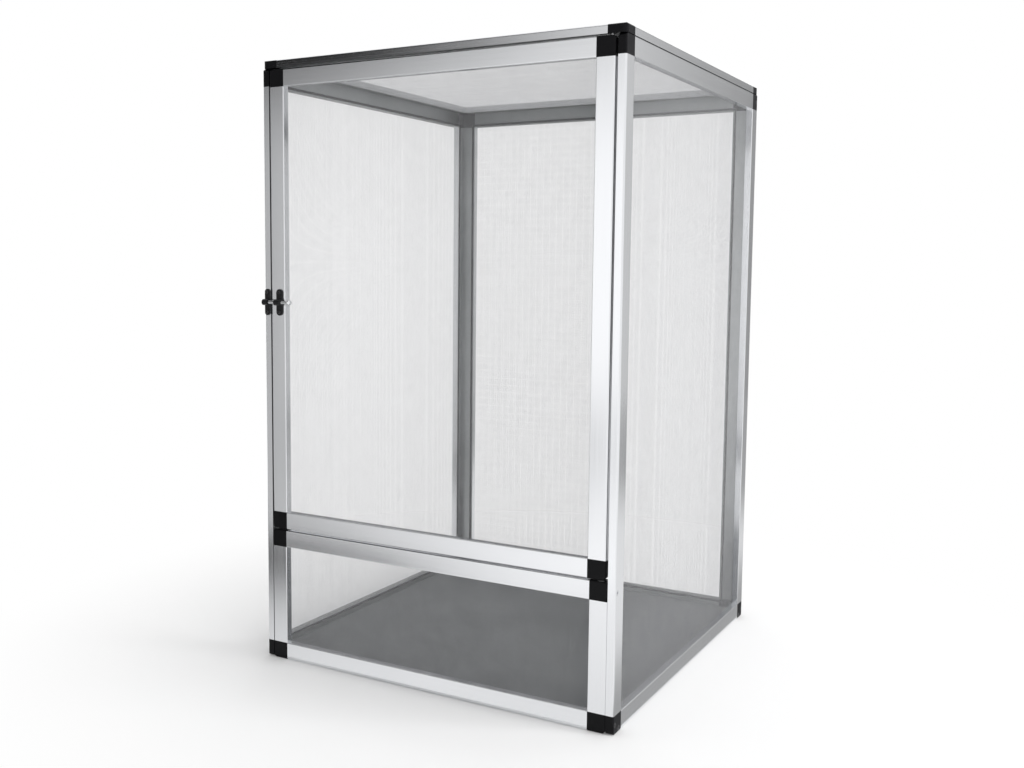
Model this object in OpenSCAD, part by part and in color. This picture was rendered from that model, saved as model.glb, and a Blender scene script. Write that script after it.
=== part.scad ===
// Tall mesh cage for a reptile: seven flat frames of one hollow aluminium extrusion, plugged together
// with moulded corner pieces, wire mesh held in a groove by a bead, a pin-hung door and a slide bolt.
// Millimetres, +Z up, front towards -Y, origin at the middle of the footprint on the ground.

/* [Cage] */
// Width over the side frames
cage_w = 510; // [360:5:700]
// Depth over the front and back frames
cage_d = 510; // [360:5:700]
// Height over the lid
cage_h = 800; // [560:5:1200]
// Height of the fixed lower front frame
lower_h = 179; // [140:1:260]

/* [Extrusion] */
// Width of the extrusion, as seen on the face of a frame
rail_w = 23; // [22:0.5:30]
// Thickness of the extrusion, so of every frame
rail_t = 10; // [10:0.5:14]
// Wall thickness of the extrusion
rail_wall = 1.3; // [1:0.1:1.6]
// Radius of the extrusion's outer edge on the outside face
edge_r = 2; // [0.5:0.1:2]
// Radius of the extrusion's inner edge on the outside face
inner_edge_r = 1; // [0.4:0.1:1]
// Width of the groove that holds the mesh
groove_w = 3.6; // [3.2:0.1:4]
// Depth of the groove below the inside face
groove_d = 4.6; // [4.2:0.1:5]
// Thickness of the lip between the groove and the opening
lip_t = 1.5; // [1:0.1:2]
// How far the lip lies below the inside face
lip_drop = 0.6; // [0.5:0.1:1]

/* [Corner pieces] */
// Radius of the outer corner of a corner piece
corner_r = 6; // [2:0.5:7]
// Length of the leg that plugs into the extrusion
leg_l = 32; // [20:1:36]
// Clearance of the leg in the extrusion, each side
leg_clear = 0.2; // [0.1:0.05:0.3]
// Taper at the end of the leg
leg_taper = 3; // [1:0.5:4]

/* [Wire mesh] */
// Pitch of the strands, coarser than the real mesh's
net_pitch = 36; // [34:1:60]
// Width of a strand
net_strand = 1.2; // [0.8:0.1:2]
// Thickness of the mesh
net_t = 0.5; // [0.4:0.05:0.6]
// Thickness of the hem that is folded into the groove
hem_t = 0.4; // [0.3:0.05:0.5]
// Diameter of the bead that holds the hem
bead_d = 3; // [2.4:0.1:3]
// Clearance of the bead above the hem
bead_clear = 0.1; // [0.05:0.05:0.2]
// Radius at the inside of the bead's bends
bend_r = 0.2; // [0.1:0.05:0.25]

/* [Floor] */
// Thickness of the floor board
floor_t = 2; // [1.5:0.5:4]
// Clearance of the floor board to the frames around it
floor_clear = 0.5; // [0.3:0.1:1.5]

/* [Door] */
// Gap above and below the door
door_gap = 1.5; // [1.2:0.1:2.5]
// Gap on the hinge side
hinge_gap = 3; // [3:0.1:4]
// Gap on the latch side
latch_gap = 1; // [1:0.1:2.5]
// Distance of the hinge axis from the door's edge
hinge_inset = 6; // [5:0.5:7]
// Diameter of the hinge pins
pin_d = 4; // [3:0.5:5]
// Running clearance of the pins in the door, on the radius
pin_clear = 0.05; // [0.02:0.01:0.1]
// Clearance of the pins in the pieces that hold them, on the radius
pin_grip_clear = 0.02; // [0.01:0.01:0.03]
// Length of the upper pin in the lid
upper_grip = 6; // [4:0.5:7]
// Length of the lower pin in the lower front frame
lower_grip = 8; // [5:0.5:8]
// Length of each pin in the door
pin_reach = 9; // [6:0.5:14]
// Chamfer on the ends of a pin
pin_chamfer = 0.5; // [0.3:0.1:0.8]
// Diameter of the thrust washer on the lower pin
washer_d = 10; // [7:0.5:10]
// Clearance between the thrust washer and the door
washer_clear = 0.1; // [0.05:0.05:0.3]

/* [Latch] */
// Distance of the latch below the middle of the door
latch_drop = -1; // [-100:0.5:100]
// Length of the latch's two plates
plate_l = 35; // [30:1:50]
// Thickness of the plates
plate_t = 1.6; // [1.2:0.1:2]
// Width of the keeper
keeper_w = 8; // [7:0.5:9]
// Width of the guide
guide_w = 10; // [8:0.5:12]
// Distance of the guide's middle from the door's edge
guide_inset = 14.5; // [13.5:0.5:15]
// Diameter of the bolt
bolt_d = 4.5; // [3.5:0.1:5]
// Travel of the bolt, from its stop collar on the guide to its knob on the guide
bolt_throw = 9; // [8.5:0.1:9.5]
// Height of the bolt's axis above the face that the plates lie on
bolt_out = 4.4; // [4.4:0.1:5]
// Sliding clearance of the bolt in the guide, on the radius
bolt_clear = 0.05; // [0.02:0.01:0.1]
// Clearance of the bolt in the keeper, on the radius
keeper_clear = 0.5; // [0.3:0.05:0.5]
// Wall of the plates' arches around the bolt
arch_wall = 1.8; // [1.4:0.1:2]
// Taper at the tip of the bolt
tip_taper = 0.8; // [0.4:0.1:1.2]
// Gap between the drawn bolt's tip and the keeper
tip_gap = 0.4; // [0.3:0.1:0.6]
// Diameter of the bolt's stop collar
collar_d = 7; // [6:0.1:7.5]
// Length of the stop collar
collar_l = 1.5; // [1:0.1:2]
// Gap that the stop collar and the knob leave to the guide at the ends of the travel
stop_gap = 0.3; // [0.2:0.1:0.5]
// Diameter of the bolt's knob
knob_d = 7.6; // [6:0.1:7.8]
// Distance between the two screws of a plate
plate_screw_pitch = 26; // [22:0.5:27]
// Diameter of the plates' screws
plate_screw_d = 2.9; // [2.4:0.1:3.2]
// Length of the plates' screws under the head
plate_screw_l = 8; // [5:0.5:9]
// Head diameter of the plates' screws
plate_screw_head_d = 5; // [4.5:0.1:6]
// Head height of the plates' screws
plate_screw_head_h = 1.6; // [1.2:0.1:2.5]

/* [Frame screws] */
// Diameter of the screws that join the frames
screw_d = 3; // [2.5:0.1:3.5]
// Length of these screws
screw_l = 28; // [24:1:30]
// Head diameter of these screws
screw_head_d = 6; // [5.5:0.1:6.4]
// Clearance of every screw in its hole, on the radius
screw_clear = 0.05; // [0.03:0.01:0.1]
// Distance of the base frame's screws from the edge of that frame
base_screw_inset = 6.5; // [6:0.5:8]

/* [Hidden] */
$fn = 48;

alu = [0.80, 0.81, 0.83];
wire = [0.70, 0.71, 0.73];
black = [0.08, 0.08, 0.09];
rubber = [0.05, 0.05, 0.05];
grey = [0.34, 0.36, 0.38];
chrome = [0.88, 0.89, 0.91];

// Overlap that makes two shapes of one solid into one
join = 1;

// Sides of a frame, as seen from outside
bottom = 0;
right = 1;
top = 2;
left = 3;

// Room between the side frames, between the front and back frames, and height under the lid
inner_w = cage_w - 2 * rail_t;
inner_d = cage_d - 2 * rail_t;
frame_h = cage_h - rail_t;

// Width and height of each frame
lid_size = [cage_w, cage_d];
side_size = [cage_d, frame_h];
back_size = [inner_w, frame_h];
lower_size = [inner_w, lower_h];
door_size = [inner_w - hinge_gap - latch_gap, frame_h - lower_h - 2 * door_gap];
base_size = [inner_w, inner_d];

// The extrusion's section: distances from its outer edge, and depths from its outside face
groove_in = rail_w - lip_t;
groove_out = groove_in - groove_w;
cavity_in = groove_out - rail_wall;
lip_z = rail_t - lip_drop;
groove_z = rail_t - groove_d;

// Hinge axis and the door's lower and upper edges
hinge_x = inner_w / 2 - hinge_gap - hinge_inset;
hinge_y = -cage_d / 2 + rail_t / 2;
door_z0 = lower_h + door_gap;
door_z1 = frame_h - door_gap;

// Height of the latch, and places along its bolt
latch_z = (door_z0 + door_z1) / 2 - latch_drop;
keeper_x = -cage_w / 2 + rail_t / 2;
guide_x = -inner_w / 2 + latch_gap + guide_inset;
tip_x = keeper_x + keeper_w / 2 + tip_gap;
collar_x = guide_x - guide_w / 2 - stop_gap - collar_l;
knob_x = guide_x + guide_w / 2 + bolt_throw + stop_gap + knob_d / 2;
arch_r = bolt_d / 2 + arch_wall;

// Seats of the screws that join the frames: the middle of the head, and the turn that points it inwards
corner_seats = concat(
    [for (sx = [-1, 1], sy = [-1, 1])
        [[sx * (cage_w - rail_t) / 2, sy * (cage_d - rail_w) / 2, cage_h], [180, 0, 0]]],
    [for (sx = [-1, 1], z = [rail_w / 2, frame_h - rail_w / 2])
        [[sx * cage_w / 2, (cage_d - rail_t) / 2, z], [0, -90 * sx, 0]]],
    [for (sx = [-1, 1])
        [[sx * cage_w / 2, -(cage_d - rail_t) / 2, rail_w / 2], [0, -90 * sx, 0]]],
    [for (sx = [-1, 1], sy = [-1, 1])
        [[sx * cage_w / 2, sy * (inner_d / 2 - base_screw_inset), rail_t / 2], [0, -90 * sx, 0]]]
);
stile_seats = [for (sx = [-1, 1])
    [[sx * cage_w / 2, -(cage_d - rail_t) / 2, lower_h - rail_w / 2], [0, -90 * sx, 0]]
];

// Where each frame stands. A frame is drawn lying on its outside face, with depth z towards the inside.
module lid_place() { translate([-cage_w / 2, cage_d / 2, cage_h]) rotate([180, 0, 0]) children(); }
module left_place() { translate([-cage_w / 2, -cage_d / 2, 0]) rotate([90, 0, 90]) children(); }
module right_place() { translate([cage_w / 2, cage_d / 2, 0]) rotate([90, 0, -90]) children(); }
module back_place() { translate([-inner_w / 2, cage_d / 2, 0]) rotate([90, 0, 0]) children(); }
module lower_place() { translate([inner_w / 2, -cage_d / 2, 0]) rotate([90, 0, 180]) children(); }
module door_place() {
    translate([inner_w / 2 - hinge_gap, -cage_d / 2, door_z0]) rotate([90, 0, 180]) children();
}
module base_place() { translate([-inner_w / 2, -inner_d / 2, 0]) children(); }

// Turns children drawn along x, with y from the outer edge inwards, onto one side of a frame
module on_side(side, size) {
    starts = [[0, 0, 0], [size.x, 0, 0], [size.x, size.y, 0], [0, size.y, 0]];
    translate(starts[side]) rotate(90 * side) children();
}

// Rectangular ring between two distances from a frame's outer edge and between two depths
module ring(size, from, to, z0, z1) {
    translate([0, 0, z0]) linear_extrude(z1 - z0) difference() {
        translate([from, from]) square([size.x - 2 * from, size.y - 2 * from]);
        translate([to, to]) square([size.x - 2 * to, size.y - 2 * to]);
    }
}

// What is cut away to round a corner that lies at the origin
module round_off(r) {
    difference() {
        square(r);
        translate([r, r]) circle(r);
    }
}

// Outline of the extrusion: x from the outer edge inwards, y from the outside face inwards
module rail_outline() {
    difference() {
        square([rail_w, rail_t]);
        round_off(edge_r);
    }
}

// Section of the extrusion: main hollow, small hollow under the groove, groove and lowered lip
module rail_section() {
    difference() {
        rail_outline();
        translate([rail_w, 0]) mirror([1, 0]) round_off(inner_edge_r);
        translate([rail_wall, rail_wall]) square([cavity_in - rail_wall, rail_t - 2 * rail_wall]);
        translate([groove_out, rail_wall])
            square([rail_w - rail_wall - groove_out, groove_z - 2 * rail_wall]);
        translate([groove_out, groove_z]) square([groove_w, groove_d + join]);
        translate([groove_in, lip_z]) square([lip_t + join, lip_drop + join]);
    }
}

// One length of extrusion on one side of a frame, between its corner pieces
module rail(side, size) {
    length = size[side % 2] - 2 * rail_w;
    on_side(side, size) translate([rail_w, 0, 0]) rotate([90, 0, 90])
        linear_extrude(length) rail_section();
}

// Solid part of a corner piece, flush with the extrusions on both its sides
module corner_block() {
    intersection() {
        linear_extrude(rail_t) difference() {
            square(rail_w);
            round_off(corner_r);
        }
        rotate([90, 0, 90]) linear_extrude(rail_w) rail_outline();
        translate([0, rail_w, 0]) rotate([90, 0, 0]) linear_extrude(rail_w) rail_outline();
    }
}

// Leg of a corner piece, along x
module corner_leg() {
    y0 = rail_wall + leg_clear;
    y1 = cavity_in - leg_clear;
    end = rail_w + leg_l;
    translate([0, 0, rail_wall + leg_clear]) linear_extrude(rail_t - 2 * rail_wall - 2 * leg_clear)
        polygon([
            [rail_w - join, y0], [end - leg_taper, y0], [end, y0 + leg_taper],
            [end, y1 - leg_taper], [end - leg_taper, y1], [rail_w - join, y1]
        ]);
}

// The four corner pieces of a frame, with the groove and the lowered lip running through them
module corner_pieces(size) {
    difference() {
        for (side = [bottom, right, top, left]) on_side(side, size) {
            corner_block();
            corner_leg();
            mirror([1, -1, 0]) corner_leg();
        }
        ring(size, groove_out, groove_in, groove_z, rail_t + join);
        ring(size, groove_in, rail_w, lip_z, rail_t + join);
    }
}

// Mesh of a frame: strands over the opening, and a hem turned down the groove's wall and along its floor
module net(size) {
    open = [size.x - 2 * rail_w, size.y - 2 * rail_w];
    cells = [for (side = open) max(1, round(side / net_pitch))];
    pitch = [open.x / cells.x, open.y / cells.y];
    translate([0, 0, lip_z]) linear_extrude(net_t) difference() {
        translate([groove_in - hem_t, groove_in - hem_t])
            square([size.x - 2 * (groove_in - hem_t), size.y - 2 * (groove_in - hem_t)]);
        for (i = [0 : cells.x - 1], j = [0 : cells.y - 1])
            translate([rail_w + i * pitch.x + net_strand / 2, rail_w + j * pitch.y + net_strand / 2])
                square([pitch.x - net_strand, pitch.y - net_strand]);
    }
    ring(size, groove_in - hem_t, groove_in, groove_z, lip_z + net_t);
    ring(size, groove_out, groove_in, groove_z, groove_z + hem_t);
}

// Bead pressed into the groove, bent round the corners
module bead(size) {
    middle = (groove_out + groove_in - hem_t) / 2;
    turn = bend_r + bead_d / 2;
    start = middle + turn;
    translate([0, 0, groove_z + hem_t + bead_clear + bead_d / 2])
        for (side = [bottom, right, top, left]) on_side(side, size) {
            translate([start, middle, 0]) rotate([0, 90, 0])
                cylinder(d = bead_d, h = size[side % 2] - 2 * start);
            translate([start, start, 0]) rotate(180)
                rotate_extrude(angle = 90) translate([turn, 0]) circle(d = bead_d);
        }
}

// Countersunk screw along z, with its head's face at z = 0
module frame_screw(clear) {
    head_h = (screw_head_d - screw_d) / 2;
    cylinder(d = screw_d + 2 * clear, h = screw_l + 2 * clear);
    cylinder(d1 = screw_head_d + 2 * clear, d2 = screw_d + 2 * clear, h = head_h);
}

module on_seats(seats) {
    for (seat = seats) translate(seat[0]) rotate(seat[1]) children();
}

module frame_screw_bores() { on_seats(concat(corner_seats, stile_seats)) frame_screw(screw_clear); }

// Hinge pin, or the hole for it, between two heights on the hinge axis
module pin_shape(z0, z1, clear, chamfer) {
    r = pin_d / 2 + clear;
    translate([hinge_x, hinge_y, z0]) rotate_extrude() polygon([
        [0, 0], [r - chamfer, 0], [r, chamfer], [r, z1 - z0 - chamfer], [r - chamfer, z1 - z0], [0, z1 - z0]
    ]);
}

// Hole on the hinge axis
module pin_bore(z0, z1, clear) {
    translate([hinge_x, hinge_y, z0]) cylinder(r = pin_d / 2 + clear, h = z1 - z0);
}

// Puts a latch piece on the front: x along the bolt, y up, z outwards
module on_front(x) { translate([x, -cage_d / 2, latch_z]) rotate([90, 0, 0]) children(); }

// The two places of a plate's screws
module plate_screw_places() {
    for (sy = [-1, 1]) translate([0, sy * plate_screw_pitch / 2, 0]) children();
}

// Latch plate with round ends and an arch for the bolt
module latch_plate(width, clear) {
    difference() {
        union() {
            linear_extrude(plate_t) {
                square([width, plate_l - width], center = true);
                for (sy = [-1, 1]) translate([0, sy * (plate_l - width) / 2]) circle(d = width);
            }
            translate([-width / 2, 0, 0]) rotate([90, 0, 90]) linear_extrude(width) {
                translate([-arch_r, 0]) square([2 * arch_r, bolt_out]);
                translate([0, bolt_out]) circle(arch_r);
            }
        }
        translate([-width / 2 - join, 0, bolt_out]) rotate([0, 90, 0])
            cylinder(d = bolt_d + 2 * clear, h = width + 2 * join);
        plate_screw_places() translate([0, 0, -join])
            cylinder(d = plate_screw_d + 2 * screw_clear, h = plate_t + 2 * join);
    }
}

// Screw of a latch plate, its head lying on the plate
module plate_screw() {
    translate([0, 0, plate_t - plate_screw_l]) cylinder(d = plate_screw_d, h = plate_screw_l + join / 2);
    translate([0, 0, plate_t]) rotate_extrude() intersection() {
        translate([0, plate_screw_head_h - plate_screw_head_d]) circle(plate_screw_head_d);
        square([plate_screw_head_d / 2, plate_screw_head_h]);
    }
}

module plate_screw_bores() {
    plate_screw_places() translate([0, 0, plate_t - plate_screw_l - screw_clear])
        cylinder(d = plate_screw_d + 2 * screw_clear, h = plate_screw_l);
}

// Lid frame
module lid_front_rail() { color(alu) lid_place() rail(top, lid_size); }
module lid_back_rail() { color(alu) lid_place() rail(bottom, lid_size); }
module lid_left_rail() { color(alu) lid_place() rail(left, lid_size); }
module lid_right_rail() { color(alu) lid_place() rail(right, lid_size); }
module lid_corners() {
    color(black) difference() {
        lid_place() corner_pieces(lid_size);
        frame_screw_bores();
        pin_bore(frame_h - join, frame_h + upper_grip, pin_grip_clear);
    }
}
module lid_mesh() { color(wire) lid_place() net(lid_size); }
module lid_bead() { color(rubber) lid_place() bead(lid_size); }

// Left side frame, whose front edge carries the latch's keeper
module left_front_stile() {
    color(alu) difference() {
        left_place() rail(left, side_size);
        frame_screw_bores();
        on_front(keeper_x) plate_screw_bores();
    }
}
module left_back_stile() { color(alu) left_place() rail(right, side_size); }
module left_top_rail() { color(alu) left_place() rail(top, side_size); }
module left_bottom_rail() { color(alu) left_place() rail(bottom, side_size); }
module left_corners() {
    color(black) difference() {
        left_place() corner_pieces(side_size);
        frame_screw_bores();
    }
}
module left_mesh() { color(wire) left_place() net(side_size); }
module left_bead() { color(rubber) left_place() bead(side_size); }

// Right side frame
module right_front_stile() {
    color(alu) difference() {
        right_place() rail(right, side_size);
        frame_screw_bores();
    }
}
module right_back_stile() { color(alu) right_place() rail(left, side_size); }
module right_top_rail() { color(alu) right_place() rail(top, side_size); }
module right_bottom_rail() { color(alu) right_place() rail(bottom, side_size); }
module right_corners() {
    color(black) difference() {
        right_place() corner_pieces(side_size);
        frame_screw_bores();
    }
}
module right_mesh() { color(wire) right_place() net(side_size); }
module right_bead() { color(rubber) right_place() bead(side_size); }

// Back frame, between the side frames
module back_left_stile() { color(alu) back_place() rail(left, back_size); }
module back_right_stile() { color(alu) back_place() rail(right, back_size); }
module back_top_rail() { color(alu) back_place() rail(top, back_size); }
module back_bottom_rail() { color(alu) back_place() rail(bottom, back_size); }
module back_corners() {
    color(black) difference() {
        back_place() corner_pieces(back_size);
        frame_screw_bores();
    }
}
module back_mesh() { color(wire) back_place() net(back_size); }
module back_bead() { color(rubber) back_place() bead(back_size); }

// Lower front frame, fixed, which carries the lower hinge pin
module lower_left_stile() { color(alu) lower_place() rail(right, lower_size); }
module lower_right_stile() { color(alu) lower_place() rail(left, lower_size); }
module lower_top_rail() { color(alu) lower_place() rail(top, lower_size); }
module lower_bottom_rail() { color(alu) lower_place() rail(bottom, lower_size); }
module lower_corners() {
    color(black) difference() {
        lower_place() corner_pieces(lower_size);
        frame_screw_bores();
        pin_bore(lower_h - lower_grip, lower_h + join, pin_grip_clear);
    }
}
module lower_mesh() { color(wire) lower_place() net(lower_size); }
module lower_bead() { color(rubber) lower_place() bead(lower_size); }

// Door frame, which turns about the two pins
module door_latch_stile() {
    color(alu) difference() {
        door_place() rail(right, door_size);
        on_front(guide_x) plate_screw_bores();
    }
}
module door_hinge_stile() { color(alu) door_place() rail(left, door_size); }
module door_top_rail() { color(alu) door_place() rail(top, door_size); }
module door_bottom_rail() { color(alu) door_place() rail(bottom, door_size); }
module door_corners() {
    color(black) difference() {
        door_place() corner_pieces(door_size);
        pin_bore(door_z0 - join, door_z0 + pin_reach + pin_chamfer, pin_clear);
        pin_bore(door_z1 - pin_reach - pin_chamfer, door_z1 + join, pin_clear);
    }
}
module door_mesh() { color(wire) door_place() net(door_size); }
module door_bead() { color(rubber) door_place() bead(door_size); }

// Base frame and the floor board that lies on it
module base_front_rail() { color(alu) base_place() rail(bottom, base_size); }
module base_back_rail() { color(alu) base_place() rail(top, base_size); }
module base_left_rail() { color(alu) base_place() rail(left, base_size); }
module base_right_rail() { color(alu) base_place() rail(right, base_size); }
module base_corners() {
    color(black) difference() {
        base_place() corner_pieces(base_size);
        frame_screw_bores();
    }
}
module floor_board() {
    size = [inner_w - 2 * floor_clear, inner_d - 2 * floor_clear];
    color(grey) translate([0, 0, rail_t]) linear_extrude(floor_t) square(size, center = true);
}

// Hinge
module upper_hinge_pin() {
    color(chrome) pin_shape(door_z1 - pin_reach, frame_h + upper_grip, 0, pin_chamfer);
}
module lower_hinge_pin() {
    color(chrome) pin_shape(lower_h - lower_grip, door_z0 + pin_reach, 0, pin_chamfer);
}
module hinge_washer() {
    color(black) difference() {
        translate([hinge_x, hinge_y, lower_h]) cylinder(d = washer_d, h = door_gap - washer_clear);
        pin_bore(lower_h - join, door_z0, pin_clear);
    }
}

// Latch, with the bolt drawn so that the door is free to swing
module latch_keeper() { color(black) on_front(keeper_x) latch_plate(keeper_w, keeper_clear); }
module latch_guide() { color(black) on_front(guide_x) latch_plate(guide_w, bolt_clear); }
module keeper_screws() { color(black) on_front(keeper_x) plate_screw_places() plate_screw(); }
module guide_screws() { color(black) on_front(guide_x) plate_screw_places() plate_screw(); }
module latch_bolt() {
    color(chrome) on_front(tip_x) translate([0, 0, bolt_out]) rotate([0, 90, 0]) {
        cylinder(d1 = bolt_d - 2 * tip_taper, d2 = bolt_d, h = tip_taper);
        translate([0, 0, tip_taper]) cylinder(d = bolt_d, h = knob_x - tip_x - tip_taper);
        translate([0, 0, collar_x - tip_x]) cylinder(d = collar_d, h = collar_l);
        translate([0, 0, knob_x - tip_x]) sphere(d = knob_d);
    }
}

// Screws that join the frames: black ones in the corner pieces, bright ones in the side frames' front stiles
module frame_screws() { color(black) on_seats(corner_seats) frame_screw(0); }
module stile_screws() { color(chrome) on_seats(stile_seats) frame_screw(0); }

lid_front_rail();
lid_back_rail();
lid_left_rail();
lid_right_rail();
lid_corners();
lid_mesh();
lid_bead();
left_front_stile();
left_back_stile();
left_top_rail();
left_bottom_rail();
left_corners();
left_mesh();
left_bead();
right_front_stile();
right_back_stile();
right_top_rail();
right_bottom_rail();
right_corners();
right_mesh();
right_bead();
back_left_stile();
back_right_stile();
back_top_rail();
back_bottom_rail();
back_corners();
back_mesh();
back_bead();
lower_left_stile();
lower_right_stile();
lower_top_rail();
lower_bottom_rail();
lower_corners();
lower_mesh();
lower_bead();
door_latch_stile();
door_hinge_stile();
door_top_rail();
door_bottom_rail();
door_corners();
door_mesh();
door_bead();
base_front_rail();
base_back_rail();
base_left_rail();
base_right_rail();
base_corners();
floor_board();
upper_hinge_pin();
lower_hinge_pin();
hinge_washer();
latch_keeper();
latch_guide();
latch_bolt();
keeper_screws();
guide_screws();
frame_screws();
stile_screws();
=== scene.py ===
"""Looks of a tall mesh cage: wire screens, aluminium frames, black corners, floor board, latch and studio."""

import logging
import math
from dataclasses import dataclass, replace
from enum import Enum
from typing import Any, Optional, Union

import bmesh
import bpy
import numpy as np
from mathutils import Matrix, Vector


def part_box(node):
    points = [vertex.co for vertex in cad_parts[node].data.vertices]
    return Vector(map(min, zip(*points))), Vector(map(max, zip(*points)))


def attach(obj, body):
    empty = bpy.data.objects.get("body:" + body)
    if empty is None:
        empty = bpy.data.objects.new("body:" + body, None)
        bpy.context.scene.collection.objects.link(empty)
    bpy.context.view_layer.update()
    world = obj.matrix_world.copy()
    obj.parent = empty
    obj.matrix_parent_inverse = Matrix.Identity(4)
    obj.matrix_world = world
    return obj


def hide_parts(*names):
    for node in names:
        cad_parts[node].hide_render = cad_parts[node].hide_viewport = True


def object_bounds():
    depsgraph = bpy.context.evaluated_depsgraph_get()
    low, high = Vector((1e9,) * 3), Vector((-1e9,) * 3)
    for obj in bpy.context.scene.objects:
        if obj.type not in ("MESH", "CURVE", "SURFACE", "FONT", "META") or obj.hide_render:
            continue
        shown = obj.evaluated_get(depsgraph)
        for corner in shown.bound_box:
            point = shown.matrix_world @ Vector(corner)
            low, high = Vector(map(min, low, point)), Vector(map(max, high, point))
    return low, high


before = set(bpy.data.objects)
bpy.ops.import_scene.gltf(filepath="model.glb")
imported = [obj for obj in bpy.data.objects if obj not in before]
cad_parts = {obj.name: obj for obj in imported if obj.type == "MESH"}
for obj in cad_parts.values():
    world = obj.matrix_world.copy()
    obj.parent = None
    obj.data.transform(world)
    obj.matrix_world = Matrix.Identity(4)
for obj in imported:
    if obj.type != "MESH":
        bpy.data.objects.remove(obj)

log = logging.getLogger("mesh_cage")

MM = 0.001
CAD_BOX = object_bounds()
MERGE = 0.001 * MM
CARD_LIFT = 2 * MM
WHITE = (1.0, 1.0, 1.0, 1.0)

Color = tuple[float, float, float]
Point = tuple[float, float, float]
Span = tuple[float, float]


class Direction(Enum):
    """Axis that a length of extrusion runs along."""

    X = 0
    Y = 1
    Z = 2


class Wall(Enum):
    """Side of the cage that a frame closes, with its width, height and inward directions."""

    LID = ((1, 0, 0), (0, -1, 0), (0, 0, -1))
    LEFT = ((0, 1, 0), (0, 0, 1), (1, 0, 0))
    RIGHT = ((0, -1, 0), (0, 0, 1), (-1, 0, 0))
    BACK = ((1, 0, 0), (0, 0, 1), (0, -1, 0))
    FRONT = ((-1, 0, 0), (0, 0, 1), (0, 1, 0))
    BASE = ((1, 0, 0), (0, 1, 0), (0, 0, 1))

    def axes(self) -> tuple[Vector, Vector, Vector]:
        """Width, height and inward directions as vectors."""
        return tuple(Vector(direction) for direction in self.value)


class Socket:
    """An output of a node that takes part in Python expressions."""

    def __init__(self, graph: "Graph", output: bpy.types.NodeSocket) -> None:
        """Keeps the graph and the output."""
        self.graph = graph
        self.output = output

    def math(self, operation: str, *values: "Value") -> "Socket":
        """Adds one Math node on this value and others."""
        return self.graph.math(operation, self, *values)

    def __add__(self, other: "Value") -> "Socket":
        """Sum."""
        return self.math("ADD", other)

    __radd__ = __add__

    def __sub__(self, other: "Value") -> "Socket":
        """Difference."""
        return self.math("SUBTRACT", other)

    def __rsub__(self, other: "Value") -> "Socket":
        """Difference from a number."""
        return self.graph.math("SUBTRACT", other, self)

    def __mul__(self, other: "Value") -> "Socket":
        """Product."""
        return self.math("MULTIPLY", other)

    __rmul__ = __mul__

    def __truediv__(self, other: "Value") -> "Socket":
        """Quotient."""
        return self.math("DIVIDE", other)

    def __abs__(self) -> "Socket":
        """Value without its sign."""
        return self.math("ABSOLUTE")

    def __gt__(self, other: "Value") -> "Socket":
        """One where this value is the greater, else zero."""
        return self.math("GREATER_THAN", other)

    def clamped(self) -> "Socket":
        """Value held between zero and one."""
        return self.math("MAXIMUM", 0.0).math("MINIMUM", 1.0)

    def step(self, low: float, high: float) -> "Socket":
        """Smooth step from zero at low to one at high.

        Args:
            low: Value at which the step starts.
            high: Value at which the step ends.

        Returns:
            The step's value.
        """
        return self.graph.node(
            "ShaderNodeMapRange",
            {"interpolation_type": "SMOOTHSTEP"},
            {"Value": self, "From Min": low, "From Max": high},
        )


Value = Union[float, Socket]


class Graph:
    """A node tree that is written as Python expressions."""

    def __init__(self, tree: bpy.types.NodeTree) -> None:
        """Starts on an empty tree."""
        self.tree = tree
        tree.nodes.clear()

    def node(
        self,
        kind: str,
        settings: Optional[dict[str, Any]] = None,
        inputs: Optional[dict[Union[str, int], Any]] = None,
        output: Union[str, int] = 0,
    ) -> Socket:
        """Adds a node.

        Args:
            kind: The node's type.
            settings: Properties of the node, set before its sockets.
            inputs: Values or links of its sockets, by name or number. A list links each of its members.
            output: Name or number of the output to give back.

        Returns:
            That output.
        """
        made = self.tree.nodes.new(kind)
        for name, value in (settings or {}).items():
            setattr(made, name, value)
        for name, value in (inputs or {}).items():
            socket = made.inputs[name]
            for member in value if isinstance(value, list) else [value]:
                if isinstance(member, Socket):
                    self.tree.links.new(member.output, socket)
                else:
                    socket.default_value = member
        return Socket(self, made.outputs[output] if len(made.outputs) else None)

    def math(self, operation: str, *values: Value) -> Socket:
        """Adds one Math node."""
        return self.node("ShaderNodeMath", {"operation": operation}, dict(enumerate(values)))

    def vector(self, x: Value = 0.0, y: Value = 0.0, z: Value = 0.0) -> Socket:
        """Joins three values into a vector."""
        return self.node("ShaderNodeCombineXYZ", inputs={"X": x, "Y": y, "Z": z})


def link(*things: bpy.types.Object) -> None:
    """Puts objects in the scene."""
    for thing in things:
        bpy.context.scene.collection.objects.link(thing)


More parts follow.
